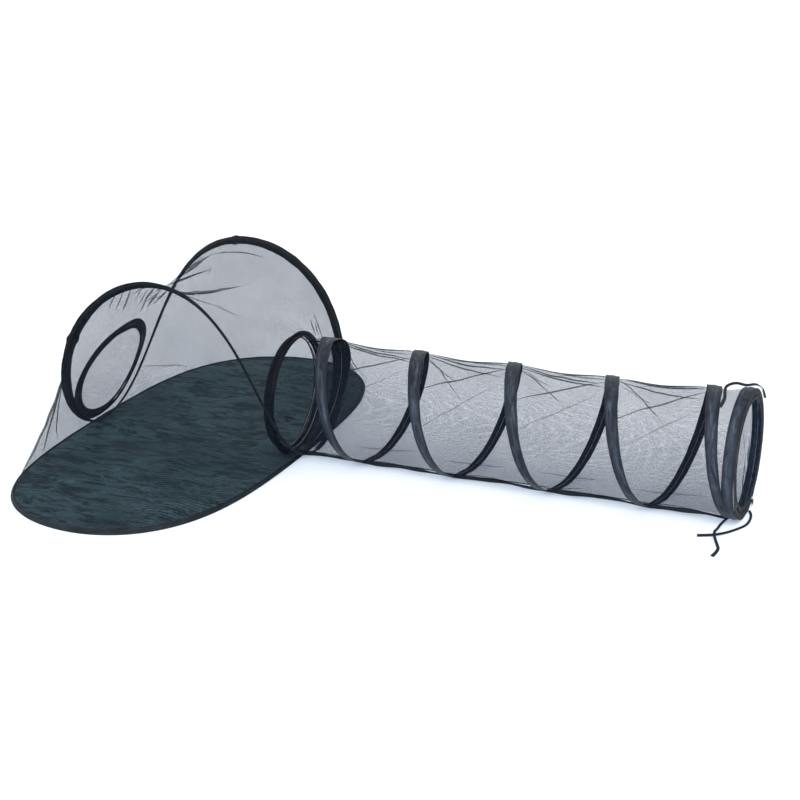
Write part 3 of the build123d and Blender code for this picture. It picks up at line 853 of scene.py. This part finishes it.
def canopy_net(side, name):
    rows = np.linspace(2.5, 177.5, 190)
    cols = np.linspace(0, 0.5, 46) if side < 0 else np.linspace(0.5, 1, 46)
    a, s = np.meshgrid(rows, cols, indexing="ij")
    pts = canopy_surface(a, s)
    pts = pull_to_ring(pts, *PORT, PORT_R, 0.12)
    pts = pull_to_ring(pts, *BACK, BACK_HOLE_R, 0.08, BACK_OUTLINE)
    free = np.sin(np.pi * np.clip(s, 0, 1)) ** 0.7
    pts[..., 0] += 0.0020 * free * waves(pts, 41, 0.09) * (np.abs(np.cos(np.radians(a))))
    pts[..., 2] += 0.0030 * free * waves(pts, 42, 0.11) * np.sin(np.radians(a))
    keep = np.ones((len(rows) - 1, len(cols) - 1), bool)
    pts, keep = open_hole(pts, keep, *PORT, PORT_R)
    pts, keep = open_hole(pts, keep, *BACK, BACK_HOLE_R, BACK_OUTLINE)
    pts[..., 2] = np.maximum(pts[..., 2], 0.0025)
    u = laid(pts, 0)[:, :1] + 0 * s
    width = np.abs(loop_point(rows, 1)[:, 1])[:, None]
    v = (s - 0.5) * 2 * width
    b = Build().grid(pts, np.stack([u, v], -1), keep=keep)
    for (a0, s0), (a1, s1), tall, wide, dark, *arch in CANOPY_FOLDS[side]:
        lift = arch[0] * 4 if arch else 0
        fold_line(b, lambda k: canopy_surface(a0 + (a1 - a0) * k + lift * k * (1 - k), s0 + (s1 - s0) * k),
                  tall, wide, dark)
    o = b.make(f"canopy_net_{name}", [NET_TENT, NET_FOLD])
    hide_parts("top_panel", "front_panel", "back_panel")
    fold_blend(o)


for side, name in SIDES:
    floor_cloth(side, name)
    floor_binding(side, name)
    arch_sleeve(side, name)
    end_net(side, name)
    canopy_net(side, name)


# ---- tunnel
# Where the net between the two hoops starts and ends.
MOUTH_FOLD_X, EXIT_FOLD_X = 0.300, 1.572


def between_hoops(x, fade):
    """1 between the tunnel's two hoops, falling to 0 over the fade at each of them."""
    return np.clip((x - MOUTH_FOLD_X) / fade, 0, 1) * np.clip((EXIT_FOLD_X - x) / fade, 0, 1)


def tunnel_surface(x, a, proud=0.0):
    """Net tube: drawn in a little between the coils, most along the top."""
    phase = ((coil_angle(x) - a) / 360) % 1
    dip = np.sin(np.pi * phase) ** 2
    amount = 0.0045 + 0.0045 * np.clip(np.cos(np.radians(a)), 0, 1)
    r = TUNNEL_R - 0.0003 - amount * dip * between_hoops(x, 0.05) + proud
    p = around(x, a, r)
    p[..., 2] = np.maximum(p[..., 2], 0.0012)
    return p


# Folds in each bay: share of the bay and angle where each starts and ends, height, width, if it is dark.
TUNNEL_FOLDS = (
    (0.05, -8, 0.95, 6, 0.004, 0.0050, True), (0.05, -2, 0.97, 16, 0.004, 0.0034, True),
    (0.06, 0, 0.66, 46, 0.004, 0.0038, True), (0.06, 4, 0.48, 30, 0.003, 0.0050, False),
    (0.05, -14, 0.90, -26, 0.004, 0.0045, True), (0.94, -2, 0.40, -12, 0.004, 0.0034, False),
    (0.95, 6, 0.10, 52, 0.004, 0.0036, True), (0.93, 30, 0.25, 82, 0.003, 0.0040, False),
    (0.94, -10, 0.15, -44, 0.003, 0.0036, False),
    (0.30, 168, 1.05, 158, 0.003, 0.0080, True), (-0.10, 160, 0.45, 172, 0.003, 0.0080, True),
    (0.20, 196, 0.95, 204, 0.003, 0.0040, False), (0.35, 150, 0.95, 138, 0.003, 0.0034, False),
)


def tunnel_net():
    x = np.linspace(NET_START, NET_END, 210)
    a = np.linspace(0, 360, 108, endpoint=False)
    xs, angles = np.meshgrid(x, a, indexing="ij")
    pts = tunnel_surface(xs, angles)
    pucker = 0.0016 * (1 + waves(pts, 50, 0.07, 14, (0.6, 1, 1))) * between_hoops(xs, 0.04)
    pts = pts - outward(pts) * pucker[..., None]
    pts[..., 2] = np.maximum(pts[..., 2], 0.0012)
    uv = uv_grid(x, np.radians(np.append(a, 360)) * TUNNEL_R)
    b = Build().grid(pts, uv, closed=(False, True))
    draw = np.random.default_rng(12)
    for k in range(5):
        left = MOUTH_FOLD_X if k == 0 else FIRST_TOP + PITCH * (k - 1)
        right = FIRST_TOP + PITCH * k if k else FIRST_TOP + 0.02
        for f0, a0, f1, a1, tall, wide, dark in TUNNEL_FOLDS[:2] if k == 0 else TUNNEL_FOLDS:
            f1, a0, a1 = f1 + draw.uniform(-0.06, 0.06), a0 + draw.uniform(-3, 3), a1 + draw.uniform(-7, 7)
            x0, x1 = left + (right - left) * f0, left + (right - left) * f1
            fold_line(b, lambda q: tunnel_surface(x0 + (x1 - x0) * q, a0 + (a1 - a0) * q, 0.0003),
                      tall, wide, dark, TUNNEL_MIDDLE)
    o = piece(b, "tunnel_net", [NET, NET_FOLD], "root", "mesh", "tunnel_mesh")
    collapse(o)


# The coil's tape: where it starts and ends, in degrees past the first top, and its radius.
COIL_START, COIL_END = -165, 360 * 4 + 150
COIL_TAPE_R = 0.1738


def coil_tape():
    a = np.arange(COIL_START, COIL_END + 0.1, 3.0)
    x = coil_x(a)
    near_top = np.cos(np.radians(a))
    lump = waves(np.stack([x, np.sin(np.radians(a)), near_top], -1), 70, 0.5)
    pts = around(x, a, COIL_TAPE_R)
    pts[:, 2] = np.maximum(pts[:, 2], 0.0032)
    over, under = np.clip(near_top, 0, 1), np.clip(-near_top, 0, 1)
    width = 0.0300 + 0.0090 * over ** 1.5 - 0.0050 * under + 0.0016 * lump
    start_swell = np.sin(np.pi * np.clip((a - COIL_START) / 172, 0, 1) ** 1.7)
    width = np.where(a < 0, width + 0.028 * start_swell, width)
    across = np.cross(tangents(pts), outward(pts))
    b = Build()
    tape(b, pts, -across, width, 0.0014, edge=0.0006, mats=(0, 1))
    o = piece(b, "coil_tape", [SATIN, SATIN_BACK_SHADED], "root", "satin_tape", "helix_tape", "helix_wire")
    collapse(o)


def bottom_seam():
    x = np.linspace(0.302, 1.567, 300)
    a = 160 + 3.0 * np.sin(x * 16) + 1.8 * np.sin(x * 41 + 1)
    pts = tunnel_surface(x, a, 0.0030)
    pts[:, 2] = np.maximum(pts[:, 2], 0.0025)
    flat = np.cross(tangents(pts), outward(pts))
    across = unit(flat * 0.55 + outward(pts) * 0.84)
    b = Build()
    tape(b, pts, across, 0.0105 + 0.003 * np.sin(x * 23) + 0.002 * np.sin(x * 57), 0.0008, edge=0.0006)
    o = piece(b, "tunnel_bottom_seam", [BINDING], "root", "satin_tape", "tunnel_seam")
    collapse(o)


def hoop_band(b, x, width, radius, bulge, seed, mats, tilt=0.0):
    """Tape band round the tunnel: flat along the tunnel, or turned out by tilt degrees."""
    a = np.linspace(0, 360, 144, endpoint=False)
    wobble = waves(np.stack([np.cos(np.radians(a)), np.sin(np.radians(a)), 0 * a], -1), seed, 0.9)
    pts = around(x + 0.0012 * wobble, a, radius + 0.0006 * wobble)
    pts[:, 2] = np.maximum(pts[:, 2], 0.0036)
    out = pts - np.stack([np.full_like(a, x), 0 * a, np.full_like(a, AXIS_Z)], -1)
    lean = math.radians(tilt)
    across = np.array([1.0, 0, 0]) * math.cos(lean) + unit(out) * math.sin(lean)
    tape(b, pts, across, width + 0.001 * wobble, bulge, edge=0.0006, closed=True, mats=mats)


def hoop_piece(name, looks, body, slot, nodes, *bands):
    """One piece made of bands round the tunnel."""
    b = Build()
    for band in bands:
        hoop_band(b, *band)
    piece(b, name, looks, body, slot, *nodes)


tunnel_net()
coil_tape()
bottom_seam()
# Each band: x, width, radius, swell over its wire, seed, looks of its two sides, and its turn outwards.
hoop_piece("mouth_ring", [SLEEVE, SATIN_BACK_SHADED], "root", "satin_tape",
           ("mouth_hoop_tape", "mouth_hoop_wire", "mouth_hoop_ferrule"),
           (0.2885, 0.024, 0.1698, 0.0024, 81, (0, 1)), (0.2725, 0.011, 0.1655, 0.0016, 82, (0, 1), -25))
hoop_piece("port_trim", [SLEEVE], "root", "sleeve", ("port_binding",),
           (0.2865, 0.015, 0.1775, 0.0010, 83, (0, 0), 62))
hoop_piece("exit_ring", [SATIN, SATIN_BACK_SHADED], "exit_end", "satin_tape",
           ("exit_hoop_tape", "exit_hoop_wire", "exit_hoop_ferrule"),
           (1.5845, 0.031, 0.1728, 0.0020, 84, (0, 1)))


# ---- zipped doors
class Door:
    """A door's own plane: centre, two directions, outward normal, radius, slider's place and zip's body."""

    def __init__(self, name, centre, ex, ey, ez, radius, slider, body, outline=None):
        self.name, self.radius, self.slider, self.outline = name, radius, math.radians(slider), outline
        self.centre, self.ex, self.ey, self.ez = (np.array(v, float) for v in (centre, ex, ey, ez))
        self.body = body

    def at(self, x, y, h=0.0):
        """Points from plane coordinates and height."""
        x, y, h = np.broadcast_arrays(np.asarray(x, float), y, h)
        if self.outline is not None:
            share = stretch_of(self.outline, x, y)
            x, y = x * share, y * share
        return self.centre + x[..., None] * self.ex + y[..., None] * self.ey + h[..., None] * self.ez


def annulus(b, door, r0, r1, thick, seed, wobble_in, wobble_out):
    """Flat ring of cloth in a door's plane, with both faces and edges, and a slightly wavy outline."""
    a = np.linspace(0, 2 * math.pi, 180, endpoint=False)
    wave = waves(np.stack([np.cos(a), np.sin(a), 0 * a], -1), seed, 0.7)
    inner = r0 + wobble_in * wave
    outer = r1 + wobble_out * np.roll(wave, 40)
    rows = []
    across = np.linspace(0, 1, 7)
    crown = np.sin(np.pi * across) ** 0.6
    for k, c in zip(across, crown):
        r = inner * (1 - k) + outer * k
        rows.append(door.at(r * np.sin(a), -r * np.cos(a), thick * (0.35 + 0.65 * c) + 0.0008 * wave))
    for k in across[::-1]:
        r = inner * (1 - k) + outer * k
        rows.append(door.at(r * np.sin(a), -r * np.cos(a), 0.0008 * wave))
    pts = np.stack(rows, 1)
    along = np.append(a, 2 * math.pi) * (r0 + r1) / 2
    v = np.concatenate([across - 0.5, (across - 0.5)[::-1], [-0.5]]) * (r1 - r0)
    uv = uv_grid(along, v)
    b.grid(pts, uv, 0, (True, True), flip=True)


TOOTH_PITCH, TOOTH_REACH, TOOTH_R = 0.0021, 0.0016, 0.00062


def teeth(b, door, radius, height, mat):
    """Zip coil: one small rounded tooth every couple of millimetres round the door."""
    count = int(2 * math.pi * radius / TOOTH_PITCH)
    for i in range(count):
        a = 2 * math.pi * i / count
        reach = TOOTH_REACH if i % 2 else -TOOTH_REACH
        p = [door.at((radius + q) * math.sin(a), -(radius + q) * math.cos(a), height + h) for q, h in (
            (reach * 0.9, 0.0002), (reach * 0.4, 0.0011), (-reach * 0.8, 0.0009))]
        rod(b, np.array(p), TOOTH_R, 5, mat=mat)


OVAL_POINTS = 28


def oval(half_x, half_y):
    """Rectangle with well rounded corners."""
    a = np.linspace(0, 2 * math.pi, OVAL_POINTS, endpoint=False)
    c, s = np.cos(a), np.sin(a)
    return half_x * np.sign(c) * np.abs(c) ** 0.5, half_y * np.sign(s) * np.abs(s) ** 0.5


def stacked(b, door, turn, middle, layers, mat):
    """Rounded block in a door's plane from a stack of ovals: (half x, half y, height) from low to high."""
    rows = []
    for hx, hy, h in layers:
        x, y = oval(hx, hy)
        px = middle[0] + x * math.cos(turn) - y * math.sin(turn)
        py = middle[1] + x * math.sin(turn) + y * math.cos(turn)
        rows.append(door.at(px, py, h))
    pts = np.stack(rows)
    uv = uv_grid(np.linspace(0, 0.01, len(rows)), np.linspace(0, 0.03, OVAL_POINTS + 1))
    first = b.n
    b.grid(pts, uv, mat, (False, True), flip=True)
    b.cap(first, OVAL_POINTS, (0, 0), mat, flip=True)
    b.cap(first + (len(rows) - 1) * OVAL_POINTS, OVAL_POINTS, (0.01, 0), mat)


# A slider's middle past the teeth, and its two plates' heights off the door's plane.
SLIDER_OFF = 0.0006 + 0.003
SLIDER_HEIGHTS = 0.0016, 0.0046


def zip_parts(door, tape_widths, net_folds, turned=0):
    radius, name = door.radius, door.name
    b = Build()
    annulus(b, door, radius + 0.0001, radius + 0.0001 + tape_widths[0], 0.0013, 91, 0, 0.0008)
    teeth(b, door, radius, 0.0013, 1)
    piece(b, f"{name}_zip", [ZIP_TAPE, TEETH], door.body, "zip_tape", f"{name}_zip_tape")

    b = Build()
    annulus(b, door, radius - tape_widths[1], radius - 0.0001, 0.0016, 92, 0.0015, 0)
    piece(b, f"{name}_door_trim", [ZIP_TAPE], f"{name}_door", "zip_tape", f"{name}_door_edge")

    inner = radius - tape_widths[1] + 0.002
    spokes = np.linspace(0, 2 * math.pi, 96, endpoint=False)
    r, a = np.meshgrid(np.linspace(0.002, inner, 34), spokes, indexing="ij")
    x, y = r * np.sin(a), -r * np.cos(a)
    free = np.clip((inner - r) / 0.03, 0, 1)
    plane = np.stack([x, y, 0 * x], -1)
    creases = net_folds * waves(plane, 93, 0.035, 12, (1.6, 0.22, 0))
    height = 0.0006 + free * (creases + 0.0012 * waves(plane, 94, 0.06))
    pts = door.at(x, y, height)
    uv_a = np.append(a[0], 2 * math.pi)
    rr, aa = np.meshgrid(r[:, 0], uv_a, indexing="ij")
    uv = np.stack([rr * np.sin(aa), -rr * np.cos(aa)], -1)
    b = Build().grid(pts, uv, 0, (False, True), flip=True)
    b.cap(0, 96, (0, 0), 0)
    o = piece(b, f"{name}_door_net", [NET_DOOR, NET_FOLD], f"{name}_door", "mesh", f"{name}_door_mesh")

    mid_r = radius + SLIDER_OFF
    middle = (mid_r * math.sin(door.slider), -mid_r * math.cos(door.slider))
    b, turn = Build(), door.slider
    low, high = SLIDER_HEIGHTS
    stacked(b, door, turn, middle, [
        (0.0044, 0.0028, low), (0.0047, 0.0031, low + 0.0004), (0.0047, 0.0031, low + 0.0010),
        (0.0041, 0.0026, low + 0.0012), (0.0034, 0.0013, low + 0.0013)], 0)
    stacked(b, door, turn, middle, [(0.0030, 0.0010, low + 0.0012), (0.0030, 0.0010, high - 0.0014)], 0)
    stacked(b, door, turn, middle, [
        (0.0040, 0.0024, high - 0.0014), (0.0044, 0.0028, high - 0.0010),
        (0.0043, 0.0027, high - 0.0003), (0.0036, 0.0021, high)], 0)
    piece(b, f"{name}_slider", [METAL], f"{name}_slider", "zip_metal", f"{name}_zip_slider")

    h = high + 0.0010
    b = Build()
    top_y = middle[1] + 0.0018
    if turned:
        ring_place = door.at(middle[0], 0, h)
        c, q = math.cos(math.radians(turned)), math.sin(math.radians(turned))
        ex, ez = c * door.ex + q * door.ez, c * door.ez - q * door.ex
        door = Door(name, ring_place, ex, door.ey, ez, radius, 0, door.body)
        middle, h = (0, middle[1]), 0
    k = np.linspace(0, 2 * math.pi, 24, endpoint=False)
    loop = door.at(middle[0] + 0.0020 * np.sin(k), top_y - 0.0030 + 0.0030 * np.cos(k), h + 0 * k)
    rod(b, loop, 0.0007, 6, closed=True, mat=0)
    stacked(b, door, 0, (middle[0], top_y - 0.0125), [
        (0.0018, 0.0068, h - 0.0009), (0.0027, 0.0074, h - 0.0006),
        (0.0028, 0.0075, h + 0.0006), (0.0019, 0.0069, h + 0.0009)], 1)
    stacked(b, door, 0, (middle[0], top_y - 0.0215), [
        (0.0015, 0.0018, h - 0.0009), (0.0025, 0.0024, h - 0.0005),
        (0.0025, 0.0024, h + 0.0005), (0.0015, 0.0018, h + 0.0009)], 0)
    piece(b, f"{name}_pull", [METAL, DARK_METAL], f"{name}_pull", "zip_pull", f"{name}_zip_pull")


EXIT_CENTRE = (NET_END + 0.0006, 0, AXIS_Z - 0.0021)
EXIT = Door("exit", EXIT_CENTRE, (0, 1, 0), (0, 0, 1), (1, 0, 0), 0.155, 22, "exit_end")
BACK_DOOR = Door("back", *BACK, 0.149, -44, "root", BACK_OUTLINE)
zip_parts(EXIT, (0.0185, 0.0125), 0.0045, 52)
zip_parts(BACK_DOOR, (0.0175, 0.0145), 0.0022)

# ---- floor, light
stage_mesh = bpy.data.meshes.new("stage")
half = 40.0
stage_corners = [(-half, -half, 0), (half, -half, 0), (half, half, 0), (-half, half, 0)]
stage_mesh.from_pydata(stage_corners, [], [(0, 1, 2, 3)])
stage_layer = stage_mesh.uv_layers.new(name="UVMap")
stage_layer.data.foreach_set("uv", np.array(stage_corners, np.float32)[:, :2].ravel())
stage_mesh.materials.append(stage_material())
placed("stage", stage_mesh)

world = bpy.data.worlds.new("studio")
world.use_nodes = True
background = world.node_tree.nodes["Background"]
background.inputs[0].default_value = (1.0, 1.0, 1.0, 1)
background.inputs[1].default_value = 1.0
scene.world = world


def softbox(name, place, aim, size, power, colour):
    data = bpy.data.lights.new(name, "AREA")
    data.shape, data.size, data.energy, data.color = "DISK", size, power, colour
    o = placed(name, data)
    o.location = place
    o.rotation_euler = (Vector(aim) - Vector(place)).to_track_quat("-Z", "Y").to_euler()


softbox("key", (3.2, -3.6, 3.4), (0.6, 0, 0.2), 2.2, 170, (1, 0.99, 0.98))
softbox("fill", (-2.6, -3.0, 2.6), (0, 0, 0.2), 2.4, 60, (0.95, 0.98, 1))
